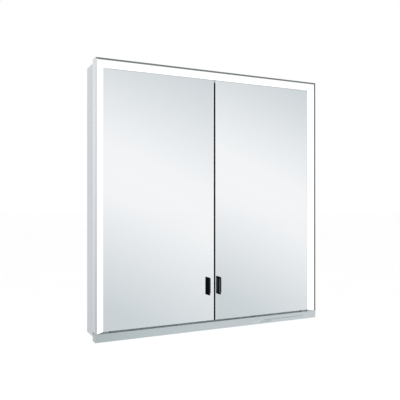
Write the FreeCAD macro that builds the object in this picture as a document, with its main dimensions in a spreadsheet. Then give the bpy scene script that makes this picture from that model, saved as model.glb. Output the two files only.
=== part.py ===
# Medicine cabinet with two mirror doors inside a lit front frame.
#
# Frame: +X to the right as seen from the room, +Y into the wall, +Z up.
# Origin: centre of the flat back face that lies on the wall, so the front rim is at Y = -cab_d.
# Depths are quoted from the front rim, and dp() turns a depth into a Y.
import FreeCAD, Part
import os
import Sketcher

V = FreeCAD.Vector
doc = FreeCAD.newDocument("mirror_cabinet")
sheet = doc.addObject("Spreadsheet::Sheet", "dims")

DIMS = [
    # overall
    ("cab_w", 700, "outer width over the lit frame"),
    ("cab_h", 735, "outer height over the lit frame"),
    ("cab_d", 110, "wall face to front rim"),
    ("body_inset", 5.5, "carcass set in behind the frame, all round"),
    ("panel_t", 12.5, "carcass panel thickness"),
    ("frame_d", 27, "depth of the front frame"),
    ("rear_t", 4, "rear panel"),
    # lit frame section, measured inward from the outer edge
    ("rim_w", 4.4, "front lip of the light profile"),
    ("skin_t", 1.6, "wall of the light profile"),
    ("band_in", 23.2, "inner tip of the diffuser from the outer edge"),
    ("band_deep", 10.6, "depth of that tip"),
    ("band_start", 4.6, "outer edge of the diffuser"),
    ("band_t", 1.86, "diffuser thickness measured along the depth"),
    ("chan_in", 18, "inner wall of the light profile from the outer edge"),
    # bottom rail
    ("rail_h", 21, "front height of the bottom rail"),
    ("rail_back", 20, "height of the rail's top under the doors"),
    # doors
    ("door_in", 24.1, "door edge from the outer edge of the frame"),
    ("door_front", 11, "depth of the mirror face"),
    ("glass_t", 4, "front mirror"),
    ("core_t", 6, "stiffening sheet"),
    ("back_t", 3, "inner mirror"),
    ("half_gap", 2.2, "half the gap between the two glasses"),
    ("seal_gap", 0.8, "half the free gap between the two seals"),
    # pivots
    ("pin_in", 32.8, "pivot axis from the outer edge"),
    ("pin_deep", 18, "pivot axis depth"),
    ("pin_rad", 2, "pivot pin radius"),
    ("bore_rad", 2.05, "pivot bearing bore radius"),
    ("corner_w", 50, "pivot bracket width"),
    ("corner_h", 14, "pivot bracket height"),
    # handles
    ("grip_h", 50, "handle height"),
    ("grip_top", -220, "handle top edge"),
    ("grip_out", 13, "how far the handle stands out"),
    ("grip_t", 3, "thickness of the handle's blade"),
    ("grip_foot", 10, "width of the handle's foot"),
    ("grip_left", -23.6, "left handle's outer face"),
    ("grip_right", 10.9, "right handle's outer face"),
    # inside
    ("part_t", 10, "centre partition"),
    ("tray_z", 308, "underside of the electrics tray"),
    ("glass_back", 3, "inner rear mirror"),
    ("shelf_t", 5, "glass shelf"),
    ("shelf_front", 38, "depth of the shelf's front edge"),
    ("row_low", -201.5, "lowest shelf hole"),
    ("row_pitch", 32, "shelf hole pitch"),
    ("row_n", 12, "shelf holes in a row"),
    ("row_front", 50, "depth of the front row"),
    ("row_back", 90, "depth of the back row"),
    ("peg_rad", 2.5, "shelf pin radius"),
    # wall fixing and cable
    ("wall_x", 250, "wall screw hole from the middle"),
    ("wall_z", -250, "wall screw hole height"),
    ("wall_rad", 3.5, "wall screw hole radius"),
    ("gland_x", 210, "cable entry"),
    ("gland_z", 330, "cable entry"),
    ("gland_rad", 4.1, "cable grommet bore radius"),
]
for i, (name, value, note) in enumerate(DIMS, 1):
    sheet.set("A%d" % i, note)
    sheet.set("B%d" % i, str(value))
    sheet.setAlias("B%d" % i, name)
doc.recompute()


class Q:
    """A size: the expression that the document keeps, and its present value."""

    def __init__(self, s, v):
        self.s, self.v = s, float(v)

    def _pair(self, o, op):
        o = o if isinstance(o, Q) else Q(repr(float(o)), o)
        return o, "(%s %s %s)" % (self.s, op, o.s)

    def __add__(self, o):
        o, s = self._pair(o, "+")
        return Q(s, self.v + o.v)

    def __sub__(self, o):
        o, s = self._pair(o, "-")
        return Q(s, self.v - o.v)

    def __mul__(self, k):
        return Q("(%s * %r)" % (self.s, float(k)), self.v * k)

    def __truediv__(self, k):
        return Q("(%s / %r)" % (self.s, float(k)), self.v / k)

    def __neg__(self):
        return Q("(-1 * %s)" % self.s, -self.v)

    def __radd__(self, o):
        return q(o) + self

    def __rsub__(self, o):
        return q(o) - self


def q(x):
    return x if isinstance(x, Q) else Q(repr(float(x)), x)


def dim(name):
    return Q("dims." + name, sheet.get(name))


S = {name: dim(name) for name, _, _ in DIMS}
HW, HH, D = S["cab_w"] / 2, S["cab_h"] / 2, S["cab_d"]


def dp(depth):
    """Y of a depth measured back from the front rim."""
    return q(depth) - D


def bind(obj, prop, value):
    value = q(value)
    obj.setExpression(prop, value.s)


nodes = {}


def keep(label, obj):
    obj.Label = label
    nodes[label] = obj
    return obj


count = [0]


def uid(stem):
    count[0] += 1
    return "%s_%03d" % (stem, count[0])


def box(x0, x1, y0, y1, z0, z1):
    b = doc.addObject("Part::Box", uid("block"))
    x0, x1, y0, y1, z0, z1 = map(q, (x0, x1, y0, y1, z0, z1))
    bind(b, "Length", x1 - x0)
    bind(b, "Width", y1 - y0)
    bind(b, "Height", z1 - z0)
    bind(b, "Placement.Base.x", x0)
    bind(b, "Placement.Base.y", y0)
    bind(b, "Placement.Base.z", z0)
    return b


TURN = {
    "z": FreeCAD.Rotation(V(0, 0, 1), 0),
    "x": FreeCAD.Rotation(V(0, 1, 0), 90),
    "y": FreeCAD.Rotation(V(1, 0, 0), -90),
}


def rod(axis, x, y, z, rad, length):
    """Cylinder that starts at x, y, z and runs along +axis."""
    c = doc.addObject("Part::Cylinder", uid("rod"))
    c.Placement = FreeCAD.Placement(V(0, 0, 0), TURN[axis])
    bind(c, "Radius", rad)
    bind(c, "Height", length)
    bind(c, "Placement.Base.x", x)
    bind(c, "Placement.Base.y", y)
    bind(c, "Placement.Base.z", z)
    return c


def group(objs):
    g = doc.addObject("Part::Compound", uid("set"))
    g.Links = list(objs)
    return g


def fuse(objs):
    f = doc.addObject("Part::MultiFuse", uid("joined"))
    f.Shapes = list(objs)
    f.Refine = True
    return f


def cut(base, tools):
    c = doc.addObject("Part::Cut", uid("cut"))
    c.Base = base
    c.Tool = tools[0] if len(tools) == 1 else group(tools)
    return c


def rounded(obj, rad, pick):
    """Part::Fillet on the edges that pick(edge) accepts."""
    doc.recompute()
    f = doc.addObject("Part::Fillet", uid("rounded"))
    f.Base = obj
    f.Edges = [(i, rad, rad) for i, e in enumerate(obj.Shape.Edges, 1) if pick(e)]
    return f


def vertical(e):
    a, b = e.BoundBox, e
    return a.ZLength > 1 and a.XLength < 0.01 and a.YLength < 0.01


def body(stem):
    return doc.addObject("PartDesign::Body", uid(stem))


def plane(bdy, role):
    return [f for f in bdy.Origin.OriginFeatures if f.Role == role][0]


def sketch(bdy, role, offset, polys=(), circles=()):
    sk = bdy.newObject("Sketcher::SketchObject", uid("sketch"))
    sk.AttachmentSupport = [(plane(bdy, role), "")]
    sk.MapMode = "FlatFace"
    offset = q(offset)
    sk.AttachmentOffset = FreeCAD.Placement(V(0, 0, offset.v), FreeCAD.Rotation())
    bind(sk, "AttachmentOffset.Base.z", offset)
    for pts in polys:
        pts = [(q(a), q(b)) for a, b in pts]
        n, first = len(pts), sk.GeometryCount
        for i in range(n):
            (a, b), (c, d) = pts[i], pts[(i + 1) % n]
            sk.addGeometry(Part.LineSegment(V(a.v, b.v, 0), V(c.v, d.v, 0)))
        for i in range(n):
            sk.addConstraint(
                Sketcher.Constraint("Coincident", first + i, 2, first + (i + 1) % n, 1)
            )
        for i, (a, b) in enumerate(pts):
            k = sk.addConstraint(
                Sketcher.Constraint("DistanceX", -1, 1, first + i, 1, a.v)
            )
            bind(sk, "Constraints[%d]" % k, a)
            k = sk.addConstraint(
                Sketcher.Constraint("DistanceY", -1, 1, first + i, 1, b.v)
            )
            bind(sk, "Constraints[%d]" % k, b)
    for a, b, rad in circles:
        a, b, rad = q(a), q(b), q(rad)
        g = sk.addGeometry(Part.Circle(V(a.v, b.v, 0), V(0, 0, 1), rad.v))
        k = sk.addConstraint(Sketcher.Constraint("Radius", g, rad.v))
        bind(sk, "Constraints[%d]" % k, rad)
        k = sk.addConstraint(Sketcher.Constraint("DistanceX", -1, 1, g, 3, a.v))
        bind(sk, "Constraints[%d]" % k, a)
        k = sk.addConstraint(Sketcher.Constraint("DistanceY", -1, 1, g, 3, b.v))
        bind(sk, "Constraints[%d]" % k, b)
    return sk


def pad(bdy, sk, length, reverse=False):
    f = bdy.newObject("PartDesign::Pad", uid("pad"))
    f.Profile = sk
    bind(f, "Length", length)
    f.Reversed = reverse
    doc.recompute()
    return f


def pocket(bdy, sk, length, reverse=False, both=False):
    before = bdy.Shape.Volume
    f = bdy.newObject("PartDesign::Pocket", uid("pocket"))
    f.Profile = sk
    bind(f, "Length", length)
    f.Reversed = reverse
    if both:
        f.SideType = "Symmetric"
    doc.recompute()
    if not bdy.Shape.Volume < before - 1e-3:
        raise RuntimeError("%s cuts nothing" % f.Name)
    return f


def pattern(bdy, feature, role, length, n):
    before = bdy.Shape.Volume
    f = bdy.newObject("PartDesign::LinearPattern", uid("pattern"))
    f.Originals = [feature]
    f.Direction = (plane(bdy, role), [""])
    f.Length = q(length).v
    bind(f, "Length", length)
    f.Occurrences = int(q(n).v)
    bind(f, "Occurrences", n)
    bdy.Tip = f
    doc.recompute()
    if abs(bdy.Shape.Volume - before) < 1e-3:
        raise RuntimeError("%s repeats nothing" % f.Name)
    return f


def fillet(bdy, rad, pick):
    tip = bdy.Tip
    names = ["Edge%d" % i for i, e in enumerate(tip.Shape.Edges, 1) if pick(e)]
    f = bdy.newObject("PartDesign::Fillet", uid("fillet"))
    f.Base = (tip, names)
    f.Radius = rad
    doc.recompute()
    return f


# ---------------------------------------------------------------- carcass
bw, bh = HW - S["body_inset"], HH - S["body_inset"]      # half sizes outside
iw, ih = bw - S["panel_t"], bh - S["panel_t"]            # half sizes inside
rail_top = -HH + S["rail_back"]                          # top of the bottom rail
y_fr, y_re = dp(S["frame_d"]), -S["rear_t"]              # carcass panels' front and rear
screw_x = bw - S["panel_t"] / 2
screw_z = bh - S["panel_t"] / 2


def rear_screw_at(side, z):
    return (screw_x * side, q(z))


REAR_SCREWS = [rear_screw_at(s, z) for s in (-1, 1) for z in (-300, -100, 100, 300)] + [
    (q(s * 160), screw_z * t) for s in (-1, 1) for t in (-1, 1)
]


def side_panel(side):
    """Side panel with two rows of blind holes for the shelf pins on its inner face."""
    b = body("side_panel")
    x0, x1 = (-bw, -iw) if side < 0 else (iw, bw)
    pad(b, sketch(b, "XY_Plane", -bh, [[(x0, y_fr), (x1, y_fr), (x1, y_re), (x0, y_re)]]), bh * 2)
    inner = -iw if side < 0 else iw
    sk = sketch(
        b, "YZ_Plane", inner, (),
        [(dp(S["row_front"]), S["row_low"], S["peg_rad"]), (dp(S["row_back"]), S["row_low"], S["peg_rad"])],
    )
    holes = pocket(b, sk, 8, reverse=side > 0)
    pattern(b, holes, "Z_Axis", S["row_pitch"] * 11, S["row_n"])
    drill = [rod("y", x, dp(92), z, 2, 14) for x, z in REAR_SCREWS if abs(abs(x.v) - screw_x.v) < 1e-6 and x.v * side > 0]
    return cut(b, drill)


keep("left_side_panel", side_panel(-1))
keep("right_side_panel", side_panel(1))


def flat_panel(z0, z1):
    b = box(-iw, iw, y_fr, y_re, z0, z1)
    drill = [rod("y", x, dp(92), z, 2, 14) for x, z in REAR_SCREWS if z0.v < z.v < z1.v and abs(x.v) < iw.v]
    return cut(b, drill)


keep("top_panel", flat_panel(ih, bh))
keep("bottom_panel", flat_panel(-bh, -ih))

# rear panel: two hanging slots, two wall screw holes, the cable entry and countersunk fixings
rp = body("rear_panel")
pad(rp, sketch(rp, "XZ_Plane", -y_re, [[(-bw, -bh), (bw, -bh), (bw, bh), (-bw, bh)]]), S["rear_t"], reverse=True)
slots = [[(q(a), q(318)), (q(b), q(318)), (q(b), q(346)), (q(a), q(346))] for a, b in ((-320, -280), (280, 320))]
pocket(rp, sketch(rp, "XZ_Plane", -y_re, slots), S["rear_t"])
pocket(
    rp,
    sketch(
        rp, "XZ_Plane", -y_re, (),
        [(-S["wall_x"], S["wall_z"], S["wall_rad"]), (S["wall_x"], S["wall_z"], S["wall_rad"]), (S["gland_x"], S["gland_z"], 8)],
    ),
    S["rear_t"],
)
drill = [rod("y", x, y_re, z, 2, S["rear_t"]) for x, z in REAR_SCREWS]
sink = [rod("y", x, q(-2), z, 3.7, 2) for x, z in REAR_SCREWS]
keep("rear_panel", cut(rp, drill + sink))

keep(
    "rear_panel_screws",
    group(
        cut(
            fuse([rod("y", x, q(-1.9), z, 3.5, 1.8), rod("y", x, dp(94), z, 1.9, 14.1)]),
            [box(x - 2.1, x + 2.1, -1.3, 0, z - 0.45, z + 0.45), box(x - 0.45, x + 0.45, -1.3, 0, z - 2.1, z + 2.1)],
        )
        for x, z in REAR_SCREWS
    ),
)

# centre partition, drilled through for the shelf pins of both halves
cp = body("partition")
ph = S["part_t"] / 2
y_pf = dp(27.1)
pad(cp, sketch(cp, "XY_Plane", -ih, [[(-ph, y_pf), (ph, y_pf), (ph, y_re), (-ph, y_re)]]), S["tray_z"] + ih)
pk = pocket(
    cp,
    sketch(
        cp, "YZ_Plane", -ph, (),
        [(dp(S["row_front"]), S["row_low"], S["peg_rad"]), (dp(S["row_back"]), S["row_low"], S["peg_rad"])],
    ),
    S["part_t"], reverse=True,
)
pattern(cp, pk, "Z_Axis", S["row_pitch"] * 11, S["row_n"])
keep("centre_partition", cp)
keep("partition_front_trim", box(-13, 13, dp(25.6), y_pf, rail_top + 0.1, S["tray_z"]))

# electrics tray: an angle that closes off the top of the cabinet
tr = body("tray")
pad(
    tr,
    sketch(
        tr, "YZ_Plane", -iw,
        [[(dp(33.5), S["tray_z"]), (y_re, S["tray_z"]), (y_re, S["tray_z"] + 1.5), (dp(35), S["tray_z"] + 1.5), (dp(35), ih), (dp(33.5), ih)]],
    ),
    iw * 2,
)
keep("electrics_tray", tr)

# inner rear mirrors, one each side of the partition, with clearance round the wall screws
y_bm = y_re - S["glass_back"]
for name, side in (("left_back_mirror", -1), ("right_back_mirror", 1)):
    x0, x1 = (-iw, -ph) if side < 0 else (ph, iw)
    m = box(x0, x1, y_bm, y_re, -ih, S["tray_z"])
    keep(name, cut(m, [rod("y", S["wall_x"] * side, y_bm, S["wall_z"], 7, S["glass_back"])]))

# ---------------------------------------------------------------- lit frame
u_rim, u_ch, u_tip, sk_t = S["rim_w"], S["chan_in"], S["band_in"], S["skin_t"]
slope = (S["band_deep"].v) / (S["band_in"].v - S["band_start"].v)


def under(u):
    """Depth of the diffuser's underside at u from the outer edge."""
    u = q(u)
    return (u - S["band_start"]) * slope + S["band_t"]


def channel_section():
    i = u_ch - sk_t
    return [
        (q(0), q(0)), (u_rim, q(0)), (u_rim, sk_t), (sk_t, sk_t), (sk_t, S["frame_d"] - sk_t),
        (i, S["frame_d"] - sk_t), (i, under(i) + 0.05), (u_ch, under(u_ch) + 0.05), (u_ch, S["frame_d"]), (q(0), S["frame_d"]),
    ]


def diffuser_section():
    return [
        (S["band_start"], q(0.05)), (u_tip, S["band_deep"]), (u_tip, S["band_deep"] + 0.75),
        (u_tip - 0.9, under(u_tip - 0.9)), (S["band_start"], S["band_t"]),
    ]


FOOT = -HH + 23.5            # lower end of the lit profiles behind the slope
LIP = -HH + S["rail_h"] + 0.6  # lower end of the lit profiles at the rim


def lit_side(section, side):
    """Vertical member: mitred at the top, cut to a slope at the foot."""
    b = body("lit_side")
    pts = [((u - HW) if side < 0 else (HW - u), dp(d)) for u, d in section]
    pad(b, sketch(b, "XY_Plane", -HH + 15, [pts]), S["cab_h"] - 15)
    outer, inner = (-HW, -HW + 40) if side < 0 else (HW, HW - 40)
    pocket(b, sketch(b, "XZ_Plane", D + 1, [[(outer, HH), (inner, HH), (inner, HH - 40)]]), 40)
    foot = [(dp(-2), -HH + 5), (dp(40), -HH + 5), (dp(40), FOOT), (dp(14), FOOT), (dp(0), LIP), (dp(-2), LIP)]
    pocket(b, sketch(b, "YZ_Plane", 0, [foot]), S["cab_w"] + 20, both=True)
    return b


def lit_top(section):
    b = body("lit_top")
    pts = [(dp(d), HH - u) for u, d in section]
    pad(b, sketch(b, "YZ_Plane", -HW, [pts]), S["cab_w"])
    for s in (-1, 1):
        tri = [(HW * s, HH), (HW * s, HH - 40), ((HW - 40) * s, HH - 40)]
        pocket(b, sketch(b, "XZ_Plane", D + 1, [tri]), 40)
    return b


# pivots: the two screws that hold each bearing
px, y_pin = HW - S["pin_in"], dp(S["pin_deep"])
bear_gap = S["door_in"] - 0.65               # bearing face, just clear of the door
SCREW_DX = (-5.5, 5.5)

top_prof = lit_top(channel_section())
holes = [rod("z", px * s + dx, y_pin, ih, 1.4, sk_t) for s in (-1, 1) for dx in SCREW_DX]
keep("top_light_profile", cut(top_prof, holes))
keep("left_light_profile", lit_side(channel_section(), -1))
keep("right_light_profile", lit_side(channel_section(), 1))
keep("top_diffuser", lit_top(diffuser_section()))
keep("left_diffuser", lit_side(diffuser_section(), -1))
keep("right_diffuser", lit_side(diffuser_section(), 1))

# bottom rail: a front wall, a floor and a top lip, open at the back, with closed ends
rail = body("rail")
pad(
    rail,
    sketch(
        rail, "YZ_Plane", -HW,
        [[(dp(0), -HH), (dp(S["frame_d"]), -HH), (dp(S["frame_d"]), rail_top), (dp(14), rail_top), (dp(0), -HH + S["rail_h"])]],
    ),
    S["cab_w"],
)
pocket(
    rail,
    sketch(rail, "YZ_Plane", 0, [[(dp(2.6), -HH + 2.4), (dp(28), -HH + 2.4), (dp(28), rail_top - 2.4), (dp(14), rail_top - 2.4), (dp(2.6), -HH + S["rail_h"] - 2.6)]]),
    S["cab_w"] - 8, both=True,
)
pocket(
    rail,
    sketch(rail, "XZ_Plane", D, [[(118, -HH + 3), (306, -HH + 3), (306, -HH + 13), (118, -HH + 13)]]),
    1.4,
)
rail_holes = [rod("z", px * s + dx, y_pin, rail_top - 2.4, 1.4, 2.4) for s in (-1, 1) for dx in SCREW_DX]
keep("bottom_rail", cut(rail, rail_holes))
keep(
    "touch_control_strip",
    rounded(box(118.15, 305.85, dp(0), dp(1.35), -HH + 3.15, -HH + 12.85), 1.5, lambda e: e.BoundBox.YLength > 1 and e.BoundBox.XLength < 0.01 and e.BoundBox.ZLength < 0.01),
)
keep("touch_sensor_board", box(126, 298, dp(2.65), dp(4.2), -HH + 3.5, -HH + 12.5))

# foot caps: close the lit profiles where they stand on the rail
def foot_cap(side):
    b = body("foot_cap")
    sec = [(q(0.3), q(0.3)), (u_rim, q(0.3)), (u_tip, S["band_deep"] + 0.3), (u_tip, S["band_deep"] + 1.2), (u_ch, S["band_deep"] + 1.2), (u_ch, S["frame_d"]), (q(0.3), S["frame_d"])]
    pts = [((u - HW) if side < 0 else (HW - u), dp(d)) for u, d in sec]
    pad(b, sketch(b, "XY_Plane", -HH + 10, [pts]), 30)
    low = [(dp(-2), -HH + 5), (dp(40), -HH + 5), (dp(40), rail_top), (dp(14), rail_top), (dp(0), -HH + S["rail_h"]), (dp(-2), -HH + S["rail_h"] - 0.1)]
    pocket(b, sketch(b, "YZ_Plane", 0, [low]), S["cab_w"] + 20, both=True)
    high = [(dp(-2), LIP - 0.05), (dp(0), LIP - 0.05), (dp(14), FOOT - 0.05), (dp(40), FOOT - 0.05), (dp(40), -HH + 50), (dp(-2), -HH + 50)]
    pocket(b, sketch(b, "YZ_Plane", 0, [high]), S["cab_w"] + 20, both=True)
    return b


keep("profile_foot_caps", group([foot_cap(-1), foot_cap(1)]))
keep("threshold_seal", box(-HW + 46, HW - 46, dp(19), dp(24), rail_top, rail_top + 3.2))

# LED strips: a board with a chip every 25 mm, standing on the profile's outer wall
def led_side(side):
    b = body("led_side")
    f = (lambda u: q(u) - HW) if side < 0 else (lambda u: HW - q(u))
    pad(b, sketch(b, "XY_Plane", -335, [[(f(1.65), dp(6)), (f(2.85), dp(6)), (f(2.85), dp(18)), (f(1.65), dp(18))]]), 675)
    chip = pad(b, sketch(b, "XY_Plane", -330, [[(f(2.75), dp(10.5)), (f(3.6), dp(10.5)), (f(3.6), dp(13.5)), (f(2.75), dp(13.5))]]), 3)
    pattern(b, chip, "Z_Axis", 650, 27)
    return b


def led_top():
    b = body("led_top")
    pad(b, sketch(b, "YZ_Plane", -320, [[(dp(6), HH - 2.85), (dp(18), HH - 2.85), (dp(18), HH - 1.65), (dp(6), HH - 1.65)]]), 640)
    chip = pad(b, sketch(b, "YZ_Plane", -314, [[(dp(10.5), HH - 3.6), (dp(13.5), HH - 3.6), (dp(13.5), HH - 2.75), (dp(10.5), HH - 2.75)]]), 3)
    pattern(b, chip, "X_Axis", 625, 26)
    return b


keep("left_led_strip", led_side(-1))
keep("right_led_strip", led_side(1))
keep("top_led_strip", led_top())

# ---------------------------------------------------------------- pivot bearings on the frame
def bearing(side, top):
    z0, z1 = (HH - bear_gap, ih) if top else (rail_top, -HH + bear_gap)
    b = box(px * side - 9, px * side + 9, dp(14), dp(24), z0, z1)
    b = rounded(b, 2, vertical)
    tools = [rod("z", px * side, y_pin, z0, S["bore_rad"], z1 - z0)]
    tools += [rod("z", px * side + dx, y_pin, z0, 1.4, z1 - z0) for dx in SCREW_DX]
    return cut(b, tools)


keep("left_pivot_bearings", group([bearing(-1, True), bearing(-1, False)]))
keep("right_pivot_bearings", group([bearing(1, True), bearing(1, False)]))
screws = []
for s in (-1, 1):
    for dx in SCREW_DX:
        screws.append(rod("z", px * s + dx, y_pin, HH - bear_gap + 0.2, 1.35, 9.5))
        screws.append(rod("z", px * s + dx, y_pin, rail_top - 5.5, 1.35, bear_gap - S["rail_back"] + 5.3))
keep("bearing_screws", group(screws))

# ---------------------------------------------------------------- doors
dz = HH - S["door_in"]                       # half height of a door
dx_out, dx_in = HW - S["door_in"], S["half_gap"]
d1 = S["door_front"]
d2 = d1 + S["glass_t"]
d3 = d2 + S["core_t"]
d4 = d3 + S["back_t"]


def span(side, a, b):
    """x range from a to b, both distances from the middle, a < b, on that side."""
    a, b = q(a), q(b)
    return (-b, -a) if side < 0 else (a, b)


def door(side, name, grip_x):
    x0, x1 = span(side, dx_in, dx_out)
    front = box(x0, x1, dp(d1), dp(d2), -dz, dz)
    keep(name + "_mirror", front)

    def notched(a, b):
        n0, n1 = span(side, dx_out - S["corner_w"] - 1.2, dx_out + 1)
        tools = [
            box(n0, n1, dp(a - 1), dp(b + 1), dz - S["corner_h"] - 0.3, dz + 1),
            box(n0, n1, dp(a - 1), dp(b + 1), -dz - 1, -dz + S["corner_h"] + 0.3),
        ]
        return cut(box(x0, x1, dp(a), dp(b), -dz, dz), tools)

    keep(name + "_core", notched(d2, d3))
    keep(name + "_back_mirror", notched(d3, d4))
    s0, s1 = span(side, S["seal_gap"], S["half_gap"])
    keep(name + "_seal", box(s0, s1, dp(d1 + 1), dp(d4), -dz, dz))

    b0, b1 = span(side, dx_out - S["corner_w"] - 0.8, dx_out - 0.8)
    brackets, pins = [], []
    for top in (True, False):
        z0, z1 = (dz - S["corner_h"], dz) if top else (-dz, -dz + S["corner_h"])
        blk = rounded(box(b0, b1, dp(d2), dp(d4 + 0.7), z0, z1), 1.2, lambda e: e.BoundBox.YLength > 1 and e.BoundBox.XLength < 0.01 and e.BoundBox.ZLength < 0.01)
        p0 = dz - 12 if top else -HH + S["rail_back"] + 0.4
        plen = (ih - 0.6) - (dz - 12) if top else (-dz + 12) - (-HH + S["rail_back"] + 0.4)
        hole0 = dz - 12 if top else -dz - 1
        brackets.append(cut(blk, [rod("z", px * side, y_pin, hole0, S["pin_rad"], 13)]))
        pins.append(rod("z", px * side, y_pin, p0, S["pin_rad"], plen))
    keep(name + "_pivot_brackets", group(brackets))
    keep(name + "_pivot_pins", group(pins))

    t0, t1 = span(side, 14, 27)
    keep(name + "_strike_plates", group([box(t0, t1, dp(d4), dp(d4 + 1), z - 15, z + 15) for z in (q(-250), q(230))]))

    # handle: a blade standing out from the glass, scooped on the side that faces the other door,
    # with a shorter foot behind it that carries it on the glass
    f0 = d1 - S["grip_out"]
    zb, zt = S["grip_top"] - S["grip_h"], S["grip_top"]
    h = body("grip")
    blade = [(grip_x, d1), (grip_x, f0), (grip_x + S["grip_t"], f0), (grip_x + S["grip_t"], d1)]
    pad(h, sketch(h, "XY_Plane", zb, [[(a, dp(b)) for a, b in blade]]), S["grip_h"])
    scoop = [(dp(f0 + 1.8), zb + 4.5), (dp(d1 - 4), zb + 4.5), (dp(d1 - 4), zt - 4.5), (dp(f0 + 1.8), zt - 4.5)]
    if side < 0:
        pocket(h, sketch(h, "YZ_Plane", grip_x + S["grip_t"], [scoop]), 0.9)
    else:
        pocket(h, sketch(h, "YZ_Plane", grip_x, [scoop]), 0.9, reverse=True)
    foot = [(grip_x + 1, d1), (grip_x + 1, d1 - 2), (grip_x + S["grip_foot"], d1 - 2), (grip_x + S["grip_foot"], d1)]
    pad(h, sketch(h, "XY_Plane", zb + 3.5, [[(a, dp(b)) for a, b in foot]]), S["grip_h"] - 7)
    fillet(h, 0.5, lambda e: abs(e.CenterOfMass.y - dp(f0).v) < 0.01 and e.BoundBox.YLength < 0.01)
    keep(name + "_handle", h)


door(-1, "left_door", S["grip_left"])
door(1, "right_door", S["grip_right"])

# ---------------------------------------------------------------- stops and catches on the partition
keep("door_bumpers", group([rod("y", s * 8.5, dp(24.3), z, 3.4, 1.3) for s in (-1, 1) for z in (-330, 285)]))


def catch(side, z):
    a0, a1 = span(side, ph, 26)
    n0, n1 = span(side, 15, 26)
    shell = fuse([box(a0, a1, dp(28), dp(46), z - 11, z + 11), box(n0, n1, dp(25.4), dp(29), z - 11, z + 11)])
    m0, m1 = span(side, 17.5, 23.5)
    return cut(shell, [box(m0, m1, dp(25), dp(35), z - 8, z + 8)]), box(m0, m1, dp(25.3), dp(35), z - 8, z + 8)


catches = [catch(s, q(z)) for s in (-1, 1) for z in (-250, 230)]
keep("magnet_catches", group([c[0] for c in catches]))
keep("catch_magnets", group([c[1] for c in catches]))

# ---------------------------------------------------------------- shelves and their pins
levels = [S["row_low"] + S["row_pitch"] * 2, S["row_low"] + S["row_pitch"] * 9]
pegs = []
for lname, zp in zip(("lower", "upper"), levels):
    for side_name, side in (("left", -1), ("right", 1)):
        x0, x1 = span(side, ph + 0.6, iw - 0.6)
        z0 = zp + S["peg_rad"]
        slab = box(x0, x1, dp(S["shelf_front"]), y_bm - 0.6, z0, z0 + S["shelf_t"])
        slab = rounded(slab, 1.0, lambda e: e.BoundBox.XLength > 100 and e.CenterOfMass.y < dp(40).v)
        keep("%s_%s_shelf" % (side_name, lname), slab)
        for depth in (S["row_front"], S["row_back"]):
            a0, a1 = span(side, q(0.2), ph + 7)
            pegs.append(rod("x", a0, dp(depth), zp, S["peg_rad"], a1 - a0))
            c0, c1 = span(side, iw - 7, iw + 7.9)
            pegs.append(rod("x", c0, dp(depth), zp, S["peg_rad"], c1 - c0))
keep("shelf_pins", group(pegs))

# ---------------------------------------------------------------- electrics above the tray
tz = S["tray_z"] + 1.5
drv = rounded(box(-70, 130, dp(48), dp(92), tz, tz + 29), 3, vertical)
keep("led_driver", drv)
tb = box(160, 196, dp(60), dp(84), tz, tz + 18)
keep("terminal_block", cut(tb, [rod("z", x, dp(72), tz + 8, 1.9, 12) for x in (167, 178, 189)]))
gx = S["gland_x"]
gr = fuse([rod("y", gx, y_re, S["gland_z"], 7.95, S["rear_t"]), rod("y", gx, y_re - 3, S["gland_z"], 11, 3)])
keep("cable_grommet", cut(gr, [rod("y", gx, y_re - 4, S["gland_z"], S["gland_rad"], 9)]))


def hanger(side):
    h0, h1 = span(side, 272, 328)
    c0, c1 = span(side, 280, 320)
    shell = cut(box(h0, h1, dp(66), y_re, tz + 1, ih - 1), [box(c0, c1, dp(70), y_re + 1, tz + 6, ih - 3)])
    k0, k1 = span(side, 292, 308)
    hook = fuse([box(k0, k1, dp(70), dp(109), 322, 326), box(k0, k1, dp(106.5), dp(109), 325, 338)])
    return shell, hook


hangers = [hanger(-1), hanger(1)]
keep("hanger_housings", group([a for a, _ in hangers]))
keep("hanger_hooks", group([b for _, b in hangers]))


# double socket outlet on the lower rear wall of the right half
so = body("socket")
sx0, sx1 = q(196), q(322)
sz0, sz1 = -ih + 8, -ih + 72
pad(so, sketch(so, "XZ_Plane", -dp(72), [[(sx0, sz0), (sx1, sz0), (sx1, sz1), (sx0, sz1)]]), y_bm - dp(72), reverse=True)
pocket(so, sketch(so, "XZ_Plane", -dp(72), (), [(q(228), -ih + 40, 20.5), (q(290), -ih + 40, 20.5)]), 13)
fillet(so, 2.5, lambda e: e.BoundBox.YLength > 10 and e.BoundBox.XLength < 0.01 and e.BoundBox.ZLength < 0.01)
keep("socket_housing", so)
ins = []
for x in (228, 290):
    disc = rod("y", x, dp(82), -ih + 40, 20.3, 3)
    ins.append(cut(disc, [rod("y", x - 9.5, dp(81), -ih + 40, 2.5, 5), rod("y", x + 9.5, dp(81), -ih + 40, 2.5, 5)]))
keep("socket_inserts", group(ins))

# ---------------------------------------------------------------- check and write
doc.recompute()
bad = [o.Name for o in doc.Objects if "Invalid" in o.State or "Error" in o.State]
if bad:
    raise RuntimeError("failed objects: %s" % bad)
os.makedirs("parts", exist_ok=True)
for label, obj in sorted(nodes.items()):
    s = obj.Shape
    if s.isNull() or not s.isValid() or not s.Solids:
        raise RuntimeError("%s has no valid solid" % label)
    if any(x.Volume <= 0 for x in s.Solids):
        raise RuntimeError("%s has a solid with no volume" % label)
    out = s if len(s.Solids) > 1 else s.Solids[0]
    out.exportStep("parts/%s.step" % label)
    b = s.BoundBox
    print("%-28s %2d solids %10.1f mm3  x %7.1f %7.1f  y %7.1f %7.1f  z %7.1f %7.1f" % (label, len(s.Solids), s.Volume, b.XMin, b.XMax, b.YMin, b.YMax, b.ZMin, b.ZMax))
print(len(nodes), "nodes")
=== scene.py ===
import math
import bpy
import bmesh
from mathutils import Vector, Matrix


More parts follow.
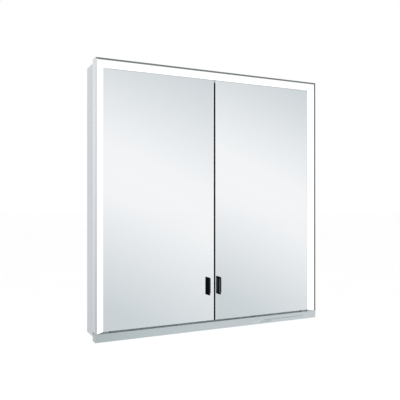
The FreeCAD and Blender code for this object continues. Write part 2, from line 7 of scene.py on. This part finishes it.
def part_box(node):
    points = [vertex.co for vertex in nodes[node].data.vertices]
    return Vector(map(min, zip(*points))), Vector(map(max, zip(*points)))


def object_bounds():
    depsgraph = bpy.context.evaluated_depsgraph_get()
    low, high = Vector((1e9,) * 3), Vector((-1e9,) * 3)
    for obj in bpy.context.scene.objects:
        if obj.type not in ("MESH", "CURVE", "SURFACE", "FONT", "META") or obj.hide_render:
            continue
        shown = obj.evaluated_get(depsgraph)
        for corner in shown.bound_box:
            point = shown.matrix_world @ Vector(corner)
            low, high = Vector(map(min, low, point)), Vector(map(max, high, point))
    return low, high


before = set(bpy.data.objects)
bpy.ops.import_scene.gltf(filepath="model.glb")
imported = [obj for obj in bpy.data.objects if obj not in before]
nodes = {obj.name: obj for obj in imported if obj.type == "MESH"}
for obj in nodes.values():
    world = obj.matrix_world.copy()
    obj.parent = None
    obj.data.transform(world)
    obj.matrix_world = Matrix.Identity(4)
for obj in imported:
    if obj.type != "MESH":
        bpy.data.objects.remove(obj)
CAD_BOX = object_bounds()
scene = bpy.context.scene
scene.view_settings.view_transform = "Standard"

# ------------------------------------------------------------------ camera
cam_data = bpy.data.cameras.new("camera")
cam_data.sensor_width = 36.0
cam_data.lens = 528.26 * 36.0 / 400.0
cam_data.clip_start = 0.01
cam_data.dof.use_dof = False
cam = bpy.data.objects.new("camera", cam_data)
scene.collection.objects.link(cam)
cam.location = (-0.69627, -1.44721, -0.00249)
cam.rotation_euler = Vector((0.43413, 0.90085, 0.00181)).to_track_quat("-Z", "Y").to_euler()
scene.camera = cam

# ------------------------------------------------------------------ studio
world = bpy.data.worlds.new("studio")
scene.world = world
world.use_nodes = True
bg = world.node_tree.nodes["Background"]
bg.inputs["Color"].default_value = (1.0, 1.0, 1.0, 1.0)
bg.inputs["Strength"].default_value = 1.0


def area(name, loc, aim, size, power, colour=(1, 1, 1)):
    d = bpy.data.lights.new(name, "AREA")
    d.shape = "DISK"
    d.size = size
    d.energy = power
    d.color = colour
    o = bpy.data.objects.new(name, d)
    scene.collection.objects.link(o)
    o.location = loc
    o.rotation_euler = (Vector(aim) - Vector(loc)).to_track_quat("-Z", "Y").to_euler()
    o.visible_glossy = False
    return o


area("key_light", (-1.6, -2.2, 2.0), (0, -0.05, 0), 1.8, 22)
area("fill_light", (2.2, -1.8, 1.2), (0, -0.05, 0), 1.8, 9)


# ------------------------------------------------------------------ material helpers
def new_mat(name):
    m = bpy.data.materials.new(name)
    m.use_nodes = True
    nt = m.node_tree
    b = nt.nodes["Principled BSDF"]
    return m, nt, b


def coords(nt):
    return nt.nodes.new("ShaderNodeTexCoord").outputs["Object"]


def mapping(nt, vec, scale=(1, 1, 1), loc=(0, 0, 0), rot=(0, 0, 0)):
    n = nt.nodes.new("ShaderNodeMapping")
    n.inputs["Scale"].default_value = scale
    n.inputs["Location"].default_value = loc
    n.inputs["Rotation"].default_value = rot
    nt.links.new(vec, n.inputs["Vector"])
    return n.outputs["Vector"]


def noise(nt, vec, scale, detail=3.0, rough=0.5):
    n = nt.nodes.new("ShaderNodeTexNoise")
    n.inputs["Scale"].default_value = scale
    n.inputs["Detail"].default_value = detail
    n.inputs["Roughness"].default_value = rough
    nt.links.new(vec, n.inputs["Vector"])
    return n.outputs["Fac"]


def ramp(nt, fac, stops, mode="LINEAR"):
    n = nt.nodes.new("ShaderNodeValToRGB")
    n.color_ramp.interpolation = mode
    els = n.color_ramp.elements
    while len(els) < len(stops):
        els.new(0.5)
    for e, (p, c) in zip(els, stops):
        e.position = p
        e.color = (*c, 1.0) if len(c) == 3 else c
    nt.links.new(fac, n.inputs["Fac"])
    return n.outputs["Color"]


def math_node(nt, op, a, b=None, clamp=False):
    n = nt.nodes.new("ShaderNodeMath")
    n.operation = op
    n.use_clamp = clamp
    for i, v in enumerate((a, b)):
        if v is None:
            continue
        if isinstance(v, (int, float)):
            n.inputs[i].default_value = v
        else:
            nt.links.new(v, n.inputs[i])
    return n.outputs[0]


def mix_col(nt, fac, a, b, mode="MIX"):
    n = nt.nodes.new("ShaderNodeMix")
    n.data_type = "RGBA"
    n.blend_type = mode
    for sock, v in ((n.inputs[0], fac), (n.inputs[6], a), (n.inputs[7], b)):
        if isinstance(v, (int, float)):
            sock.default_value = v
        elif isinstance(v, tuple):
            sock.default_value = (*v, 1.0) if len(v) == 3 else v
        else:
            nt.links.new(v, sock)
    return n.outputs[2]


def bump(nt, b, height, strength, distance):
    n = nt.nodes.new("ShaderNodeBump")
    n.inputs["Strength"].default_value = strength
    n.inputs["Distance"].default_value = distance
    nt.links.new(height, n.inputs["Height"])
    nt.links.new(n.outputs["Normal"], b.inputs["Normal"])


def lin(r, g, b):
    def f(v):
        v /= 255.0
        return v / 12.92 if v <= 0.04045 else ((v + 0.055) / 1.055) ** 2.4

    return (f(r), f(g), f(b))


def rough_from(nt, b, fac, lo, hi):
    n = nt.nodes.new("ShaderNodeMapRange")
    n.inputs["To Min"].default_value = lo
    n.inputs["To Max"].default_value = hi
    nt.links.new(fac, n.inputs["Value"])
    nt.links.new(n.outputs["Result"], b.inputs["Roughness"])


def separate(nt, vec):
    n = nt.nodes.new("ShaderNodeSeparateXYZ")
    nt.links.new(vec, n.inputs[0])
    return n.outputs


def tone_along(nt, v, axis, lo, hi, stops):
    """Colour that changes slowly along one axis of the part, from lo to hi in metres; used for painted light and shade
    gradients.
    """
    c = separate(nt, v)["xyz".index(axis)]
    n = nt.nodes.new("ShaderNodeMapRange")
    n.inputs["From Min"].default_value = lo
    n.inputs["From Max"].default_value = hi
    nt.links.new(c, n.inputs["Value"])
    return ramp(nt, n.outputs["Result"], [(p, lin(*c3)) for p, c3 in stops])


def anodised(name, rgb, along, metallic=0.55, lo=0.34, hi=0.46, spread=0.03, tone=None):
    """Drawn and anodised aluminium: very fine lines along one axis, slow cloudy tone."""
    m, nt, b = new_mat(name)
    v = coords(nt)
    stretch = {"x": (14, 1500, 1500), "y": (1500, 14, 1500), "z": (1500, 1500, 14)}[along]
    lines = noise(nt, mapping(nt, v, scale=stretch), 1.0, 2.0)
    cloud = noise(nt, v, 5.0, 2.0)
    base = lin(*rgb)
    lo_c = tuple(c * (1 - spread) for c in base)
    hi_c = tuple(min(1, c * (1 + spread)) for c in base)
    mixed = math_node(nt, "ADD", math_node(nt, "MULTIPLY", lines, 0.6), math_node(nt, "MULTIPLY", cloud, 0.4))
    colour = ramp(nt, mixed, [(0.25, lo_c), (0.75, hi_c)])
    # tone: a painted shade gradient along one axis, multiplied over the grain.
    if tone:
        grey = ramp(nt, mixed, [(0.25, (1 - spread,) * 3), (0.75, (1.0,) * 3)])
        colour = mix_col(nt, 1.0, tone_along(nt, v, *tone), grey, "MULTIPLY")
    nt.links.new(colour, b.inputs["Base Color"])
    b.inputs["Metallic"].default_value = metallic
    rough_from(nt, b, lines, lo, hi)
    bump(nt, b, lines, 0.08, 0.0002)
    return m, nt, b


def lacquer(name, rgb, lo=0.35, hi=0.5, spread=0.02, peel=900, strength=0.12, spec=0.5):
    """Sprayed or moulded surface with a fine orange peel."""
    m, nt, b = new_mat(name)
    v = coords(nt)
    fine = noise(nt, v, peel, 2.0)
    cloud = noise(nt, v, 7.0, 3.0)
    base = lin(*rgb)
    nt.links.new(
        ramp(nt, cloud, [(0.3, tuple(c * (1 - spread) for c in base)), (0.7, tuple(min(1, c * (1 + spread)) for c in base))]),
        b.inputs["Base Color"],
    )
    rough_from(nt, b, fine, lo, hi)
    b.inputs["Specular IOR Level"].default_value = spec
    bump(nt, b, fine, strength, 0.0002)
    return m, nt, b


def steel(name, rgb, lo=0.22, hi=0.38):
    m, nt, b = new_mat(name)
    v = coords(nt)
    n1 = noise(nt, v, 240, 4.0)
    n2 = noise(nt, v, 2200, 2.0)
    base = lin(*rgb)
    nt.links.new(ramp(nt, n1, [(0.3, tuple(c * 0.93 for c in base)), (0.7, base)]), b.inputs["Base Color"])
    b.inputs["Metallic"].default_value = 1.0
    rough_from(nt, b, n1, lo, hi)
    bump(nt, b, n2, 0.08, 0.0001)
    return m, nt, b


def glow_where(nt, b, mask, rgb=(1.0, 1.0, 1.0), strength=1.0):
    """Painted light: emission that stands in for the light of the lit frame caught by an edge lying right beside it.
    """
    nt.links.new(mix_col(nt, mask, (0.0, 0.0, 0.0), rgb), b.inputs["Emission Color"])
    b.inputs["Emission Strength"].default_value = strength


def beside_frame(nt, v):
    """1 within a millimetre of the door's outer and top edges, 0 elsewhere."""
    x, y, z = separate(nt, v)
    side = math_node(nt, "GREATER_THAN", math_node(nt, "ABSOLUTE", x), 0.3255)
    top = math_node(nt, "GREATER_THAN", z, 0.3430)
    return math_node(nt, "MAXIMUM", side, top)


def put(m, *names):
    for n in names:
        o = nodes[n]
        o.data.materials.clear()
        o.data.materials.append(m)


# ------------------------------------------------------------------ mirrors
def mirror_mat(name, x_left):
    """Silvered glass with a painted reflection, a soft bright diagonal band painted into its colour, a painted
    highlight and a painted dark line of gap shade beside the meeting edge; its outer cut edges in the green of float
    glass, its meeting edge painted near black as shade in the gap.
    """
    m, nt, b = new_mat(name)
    v = coords(nt)
    x, y, z = separate(nt, v)
    # Painted reflection: a soft bright diagonal band across each door, painted into the base colour, brightest along a
    # slanting line and darker away from it.
    xl = math_node(nt, "SUBTRACT", x, x_left)
    s = math_node(nt, "SUBTRACT", z, 0.086)
    fan = math_node(nt, "SUBTRACT", 0.36, math_node(nt, "MULTIPLY", s, 0.35))
    s = math_node(nt, "ADD", s, math_node(nt, "MULTIPLY", xl, fan))
    wob = math_node(nt, "MULTIPLY", math_node(nt, "SUBTRACT", noise(nt, v, 2.2, 1.0), 0.5), 0.02)
    s = math_node(nt, "ABSOLUTE", math_node(nt, "ADD", s, wob))
    t = math_node(nt, "MULTIPLY", s, 1 / 0.43, clamp=True)
    face_painted_light_and_shade = ramp(
        nt, t,
        [(0.0, lin(244, 245, 247)), (0.12, lin(243, 244, 246)), (0.24, lin(238, 241, 243)), (0.43, lin(228, 232, 235)),
         (0.62, lin(217, 222, 225)), (0.72, lin(211, 217, 220)), (0.81, lin(205, 212, 215)), (0.97, lin(199, 207, 210))],
    )
    nrm = nt.nodes.new("ShaderNodeTexCoord").outputs["Normal"]
    ny = math_node(nt, "ABSOLUTE", separate(nt, nrm)[1])
    face = math_node(nt, "GREATER_THAN", ny, 0.7)
    ax = math_node(nt, "ABSOLUTE", x)
    # Painted shade: the cut edge where the doors meet is painted near black, as shade in the gap; the outer cut edges
    # keep the pale green of float glass.
    meeting = math_node(nt, "LESS_THAN", ax, 0.004)
    edge = mix_col(nt, meeting, lin(206, 216, 213), lin(8, 10, 11))
    # Painted highlight: the face brightens over the last few millimetres towards the meeting edge.
    painted_arris_highlight = nt.nodes.new("ShaderNodeMapRange")
    painted_arris_highlight.inputs["From Min"].default_value = 0.0062
    painted_arris_highlight.inputs["From Max"].default_value = 0.0026
    painted_arris_highlight.inputs["To Max"].default_value = 0.45
    nt.links.new(ax, painted_arris_highlight.inputs["Value"])
    face_painted_light_and_shade = mix_col(nt, painted_arris_highlight.outputs["Result"], face_painted_light_and_shade, lin(252, 253, 253))
    # Painted shade: the face's last 2.7 mm at the meeting edge is painted near black, widening the gap's shade.
    face_painted_light_and_shade = mix_col(nt, math_node(nt, "LESS_THAN", ax, 0.0027), face_painted_light_and_shade, lin(8, 10, 11))
    nt.links.new(mix_col(nt, face, edge, face_painted_light_and_shade), b.inputs["Base Color"])
    b.inputs["Metallic"].default_value = 1.0
    # Painted light: the mirror's cut edges beside the lit frame glow as if lit by it.
    off_face = math_node(nt, "SUBTRACT", 1.0, face)
    glow_where(nt, b, math_node(nt, "MULTIPLY", off_face, beside_frame(nt, v)), (0.80, 0.82, 0.82))
    dust = noise(nt, v, 160, 5.0)
    rough_from(nt, b, dust, 0.035, 0.06)
    return m


left_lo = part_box("left_door_mirror")[0]
right_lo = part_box("right_door_mirror")[0]
put(mirror_mat("left_mirror_silver", left_lo.x), "left_door_mirror")
put(mirror_mat("right_mirror_silver", right_lo.x), "right_door_mirror")


def plain_mirror(name, rgb=(226, 231, 233)):
    m, nt, b = new_mat(name)
    v = coords(nt)
    c = noise(nt, v, 3.0, 2.0)
    nt.links.new(ramp(nt, c, [(0.3, lin(*[k - 6 for k in rgb])), (0.7, lin(*rgb))]), b.inputs["Base Color"])
    b.inputs["Metallic"].default_value = 1.0
    rough_from(nt, b, noise(nt, v, 160, 5.0), 0.03, 0.06)
    return m


put(plain_mirror("inner_mirror"), "left_back_mirror", "right_back_mirror", "left_door_back_mirror", "right_door_back_mirror")

# ------------------------------------------------------------------ metalwork
# Painted shade on the side panels: darker towards the bottom.
FLANK_PAINTED_SHADE = ("z", -0.36, 0.36, [(0.0, (184, 190, 196)), (0.25, (193, 199, 205)), (1.0, (197, 203, 209))])
put(anodised("flank_aluminium", (197, 203, 208), "z", tone=FLANK_PAINTED_SHADE)[0], "left_side_panel", "right_side_panel")
put(anodised("panel_aluminium", (203, 208, 213), "x")[0], "top_panel", "bottom_panel", "electrics_tray", "partition_front_trim")
put(anodised("partition_aluminium", (205, 210, 214), "z")[0], "centre_partition")
put(lacquer("rear_lacquer", (196, 200, 205))[0], "rear_panel")
# Painted shade along the bottom rail: darker towards its left end.
RAIL_PAINTED_SHADE = ("x", -0.35, 0.35, [(0.0, (166, 176, 179)), (0.22, (178, 187, 190)), (0.5, (185, 192, 196)), (1.0, (190, 197, 200))])


def rail_mat():
    """Brushed along its length, darker towards its left end as painted shade; its top, under the doors, is painted
    darker as the shade in the gap under the doors.
    """
    m, nt, b = anodised("rail_aluminium", (190, 197, 200), "x", spread=0.05, tone=RAIL_PAINTED_SHADE)
    old = b.inputs["Base Color"].links[0].from_socket
    nrm = separate(nt, nt.nodes.new("ShaderNodeTexCoord").outputs["Normal"])[2]
    z = separate(nt, coords(nt))[2]
    # Painted shade: the rail's upward face under the doors, in the gap, is painted darker than the rest of the rail.
    top = math_node(nt, "MULTIPLY", math_node(nt, "GREATER_THAN", nrm, 0.7), math_node(nt, "GREATER_THAN", z, -0.3485))
    nt.links.new(mix_col(nt, top, old, lin(176, 184, 187)), b.inputs["Base Color"])
    return m


put(rail_mat(), "bottom_rail")


def core_mat():
    m, nt, b = lacquer("door_board", (150, 154, 158), lo=0.5, hi=0.65, spread=0.04)
    v = coords(nt)
    ny = math_node(nt, "ABSOLUTE", separate(nt, nt.nodes.new("ShaderNodeTexCoord").outputs["Normal"])[1])
    flat = math_node(nt, "LESS_THAN", ny, 0.5)
    # Painted light: the door board's cut edges beside the lit frame glow as if lit by it.
    glow_where(nt, b, math_node(nt, "MULTIPLY", flat, beside_frame(nt, v)), (0.80, 0.82, 0.82))
    return m


put(core_mat(), "left_door_core", "right_door_core")


# Painted shade on the light profiles: darker towards the bottom. The left lip's pale colour, also darker towards the
# bottom, is painted light where the top and right lips are painted dark as shade.
STRIP_PAINTED_SHADE = ("z", -0.36, 0.36, [(0.0, (186, 193, 197)), (0.28, (200, 207, 212)), (0.5, (211, 216, 222)), (0.75, (217, 221, 225)), (1.0, (214, 219, 223))])
SIDE_LIP_PAINTED_LIGHT_AND_SHADE = ("z", -0.36, 0.36, [(0.0, (168, 176, 178)), (0.28, (186, 191, 194)), (0.6, (202, 205, 207)), (1.0, (207, 210, 211))])


def rim_mat(name, along, painted_lip_shade_rgb=None, tone=None, painted_lip_light_and_shade=None):
    """The light profile: satin outside, the side profiles darker towards the bottom as painted shade, with its front
    lip in a separate painted colour: dark as painted shade on the top and right profiles, pale and graded as painted
    light on the left.
    """
    m, nt, b = anodised(name, (214, 219, 223), along, tone=tone)
    old = b.inputs["Base Color"].links[0].from_socket
    v = coords(nt)
    y = separate(nt, v)[1]
    # Painted light and shade: the front lip's colour replaces the satin finish.
    lip = math_node(nt, "LESS_THAN", y, -0.10985)
    new = lin(*painted_lip_shade_rgb) if painted_lip_shade_rgb else tone_along(nt, v, *painted_lip_light_and_shade)
    nt.links.new(mix_col(nt, lip, old, new), b.inputs["Base Color"])
    return m


put(rim_mat("profile_top", "x", (108, 113, 114)), "top_light_profile")
put(rim_mat("profile_right", "z", (88, 90, 91), tone=STRIP_PAINTED_SHADE), "right_light_profile")
put(rim_mat("profile_left", "z", tone=STRIP_PAINTED_SHADE, painted_lip_light_and_shade=SIDE_LIP_PAINTED_LIGHT_AND_SHADE), "left_light_profile")

# ------------------------------------------------------------------ lit parts
def diffuser_mat():
    m, nt, b = new_mat("opal_diffuser")
    v = coords(nt)
    c = noise(nt, v, 12.0, 2.0)
    body_col = ramp(nt, c, [(0.3, (0.83, 0.84, 0.84)), (0.7, (0.86, 0.87, 0.87))])
    x, y, z = separate(nt, v)
    # Painted shade: the diffuser's first millimetre beside the top and right lips fades to the lip's dark colour and
    # loses its glow, more strongly at the top.
    near_lip = nt.nodes.new("ShaderNodeMapRange")
    near_lip.inputs["From Min"].default_value = -0.10885
    near_lip.inputs["From Max"].default_value = -0.10990
    nt.links.new(y, near_lip.inputs["Value"])
    painted_lip_shade_mask = math_node(nt, "MULTIPLY", near_lip.outputs["Result"], math_node(nt, "GREATER_THAN", x, -0.3440))
    painted_lip_shade_mask = math_node(nt, "MULTIPLY", painted_lip_shade_mask, math_node(nt, "ADD", 0.30, math_node(nt, "MULTIPLY", math_node(nt, "GREATER_THAN", z, 0.3435), 0.18)))
    nt.links.new(mix_col(nt, painted_lip_shade_mask, body_col, lin(108, 113, 114)), b.inputs["Base Color"])
    rough_from(nt, b, noise(nt, v, 900, 2.0), 0.45, 0.6)
    nt.links.new(mix_col(nt, painted_lip_shade_mask, (1.0, 1.0, 1.0), (0.0, 0.0, 0.0)), b.inputs["Emission Color"])
    b.inputs["Emission Strength"].default_value = 0.2
    return m


put(diffuser_mat(), "top_diffuser", "left_diffuser", "right_diffuser")


def led_mat():
    m, nt, b = new_mat("led_board")
    v = coords(nt)
    nt.links.new(ramp(nt, noise(nt, v, 60, 2.0), [(0.3, (0.80, 0.80, 0.74)), (0.7, (0.88, 0.88, 0.84))]), b.inputs["Base Color"])
    b.inputs["Roughness"].default_value = 0.4
    b.inputs["Emission Color"].default_value = (1.0, 0.97, 0.9, 1.0)
    b.inputs["Emission Strength"].default_value = 0.8
    return m


put(led_mat(), "left_led_strip", "right_led_strip", "top_led_strip")

# ------------------------------------------------------------------ glass shelves
def glass_mat():
    m, nt, b = new_mat("shelf_glass")
    v = coords(nt)
    nt.links.new(ramp(nt, noise(nt, v, 9, 2.0), [(0.3, (0.86, 0.94, 0.91)), (0.7, (0.90, 0.96, 0.94))]), b.inputs["Base Color"])
    rough_from(nt, b, noise(nt, v, 300, 4.0), 0.01, 0.035)
    b.inputs["Transmission Weight"].default_value = 0.92
    b.inputs["IOR"].default_value = 1.5
    return m


put(glass_mat(), "left_lower_shelf", "right_lower_shelf", "left_upper_shelf", "right_upper_shelf")

# ------------------------------------------------------------------ plastics, rubber, steel
def handle_mat(name, x_face):
    """Satin black, with a painted highlight graded across the floor of the finger scoop."""
    m, nt, b = lacquer(name, (15, 17, 19), lo=0.36, hi=0.5, spread=0.15, peel=1400, spec=0.0)
    old = b.inputs["Base Color"].links[0].from_socket
    v = coords(nt)
    x, y, z = separate(nt, v)
    # Painted highlight: one face of the handle graded from near black at the base to pale grey towards its front.
    near = math_node(nt, "LESS_THAN", math_node(nt, "ABSOLUTE", math_node(nt, "SUBTRACT", x, x_face)), 0.0002)
    grade = nt.nodes.new("ShaderNodeMapRange")
    grade.inputs["From Min"].default_value = -0.1005
    grade.inputs["From Max"].default_value = -0.1095
    nt.links.new(y, grade.inputs["Value"])
    pale = ramp(nt, grade.outputs["Result"], [(0.0, lin(30, 34, 36)), (0.45, lin(58, 64, 67)), (0.8, lin(120, 127, 130)), (1.0, lin(108, 114, 117))])
    nt.links.new(mix_col(nt, near, old, pale), b.inputs["Base Color"])
    return m


lh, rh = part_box("left_door_handle"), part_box("right_door_handle")
put(handle_mat("left_handle_black", lh[0].x + 0.0021), "left_door_handle")
put(handle_mat("right_handle_black", rh[0].x + 0.0009), "right_door_handle")


def seal_mat():
    """Black lip seal, its last few millimetres at the top a pale end piece."""
    m, nt, b = lacquer("black_seal", (6, 7, 8), lo=0.6, hi=0.8, spread=0.12, peel=700, strength=0.25, spec=0.05)
    old = b.inputs["Base Color"].links[0].from_socket
    z = separate(nt, coords(nt))[2]
    top = math_node(nt, "GREATER_THAN", z, 0.3365)
    nt.links.new(mix_col(nt, top, old, lin(196, 201, 204)), b.inputs["Base Color"])
    return m


put(seal_mat(), "left_door_seal", "right_door_seal")
# Painted light: the threshold seal is coloured near white so the shaded gap under the doors reads lit.
put(lacquer("threshold_rubber", (224, 230, 232), lo=0.6, hi=0.8, spread=0.08, peel=700, strength=0.25, spec=0.15)[0], "threshold_seal")
put(lacquer("black_moulded", (30, 31, 33), lo=0.45, hi=0.6, spread=0.1, peel=1100)[0], "terminal_block")


def cap_mat():
    m, nt, b = lacquer("foot_cap_grey", (176, 183, 184), lo=0.4, hi=0.55)
    old = b.inputs["Base Color"].links[0].from_socket
    x = separate(nt, coords(nt))[0]
    # Painted shade: the left foot cap is painted dark grey and the right one pale, as shaded and lit copies of one
    # grey moulding.
    left = math_node(nt, "LESS_THAN", x, 0.0)
    nt.links.new(mix_col(nt, left, old, lin(80, 88, 91)), b.inputs["Base Color"])
    return m


put(cap_mat(), "profile_foot_caps")
put(lacquer("black_rubber", (26, 27, 28), lo=0.6, hi=0.8, spread=0.12, peel=700, strength=0.25, spec=0.2)[0], "door_bumpers", "cable_grommet")
put(lacquer("grey_moulded", (150, 153, 156), lo=0.42, hi=0.56, peel=1100)[0], "magnet_catches", "hanger_housings")
put(lacquer("pale_moulded", (176, 182, 184), lo=0.42, hi=0.56, peel=1100)[0], "left_pivot_bearings", "right_pivot_bearings")
put(lacquer("white_moulded", (226, 227, 226), lo=0.25, hi=0.38, peel=600)[0], "led_driver", "socket_housing")
put(lacquer("socket_insert_white", (214, 215, 214), lo=0.3, hi=0.42, peel=600)[0], "socket_inserts")
put(steel("plated_steel", (190, 192, 196))[0], "rear_panel_screws", "bearing_screws", "left_door_pivot_brackets", "right_door_pivot_brackets", "left_door_strike_plates", "right_door_strike_plates", "hanger_hooks")
put(steel("ground_pin", (205, 206, 208), 0.14, 0.24)[0], "left_door_pivot_pins", "right_door_pivot_pins", "shelf_pins")
put(steel("magnet_face", (120, 120, 124), 0.2, 0.3)[0], "catch_magnets")
put(lacquer("sensor_board", (40, 92, 62), lo=0.35, hi=0.5)[0], "touch_sensor_board")


def touch_mat():
    """Touch strip: a row of short generic marks, then plain gloss."""
    m, nt, b = lacquer("touch_strip", (180, 188, 191), lo=0.18, hi=0.26, peel=400, strength=0.05)
    old = b.inputs["Base Color"].links[0].from_socket
    v = coords(nt)
    x, y, z = separate(nt, v)
    pitch = 0.0078
    cell = math_node(nt, "FRACT", math_node(nt, "DIVIDE", math_node(nt, "SUBTRACT", x, 0.1502), pitch))
    bar = math_node(nt, "LESS_THAN", cell, 0.36)
    inx = math_node(nt, "MULTIPLY", math_node(nt, "GREATER_THAN", x, 0.1501), math_node(nt, "LESS_THAN", x, 0.1845))
    inz = math_node(nt, "MULTIPLY", math_node(nt, "GREATER_THAN", z, -0.3638), math_node(nt, "LESS_THAN", z, -0.3588))
    mark = math_node(nt, "MULTIPLY", math_node(nt, "MULTIPLY", bar, inx), inz)
    lx = math_node(nt, "MULTIPLY", math_node(nt, "GREATER_THAN", x, 0.1600), math_node(nt, "LESS_THAN", x, 0.2990))
    lz = math_node(nt, "MULTIPLY", math_node(nt, "GREATER_THAN", z, -0.3586), math_node(nt, "LESS_THAN", z, -0.3564))
    line = math_node(nt, "MULTIPLY", lx, lz)
    with_line = mix_col(nt, line, old, lin(142, 150, 153))
    nt.links.new(mix_col(nt, mark, with_line, lin(128, 136, 139)), b.inputs["Base Color"])
    return m


put(touch_mat(), "touch_control_strip")

# ------------------------------------------------------------------ floor
def floor():
    me = bpy.data.meshes.new("floor")
    bm = bmesh.new()
    bmesh.ops.create_circle(bm, cap_ends=True, radius=60, segments=96)
    bm.to_mesh(me)
    bm.free()
    o = bpy.data.objects.new("floor", me)
    scene.collection.objects.link(o)
    o.location = (0, 0, CAD_BOX[0][2] - 1.1)
    m, nt, b = new_mat("pale_floor")
    v = coords(nt)
    nt.links.new(ramp(nt, noise(nt, v, 0.6, 2.0), [(0.3, (0.985, 0.985, 0.985)), (0.7, (0.995, 0.995, 0.995))]), b.inputs["Base Color"])
    b.inputs["Roughness"].default_value = 0.9
    b.inputs["Specular IOR Level"].default_value = 0.1
    me.materials.append(m)
    return o


floor()
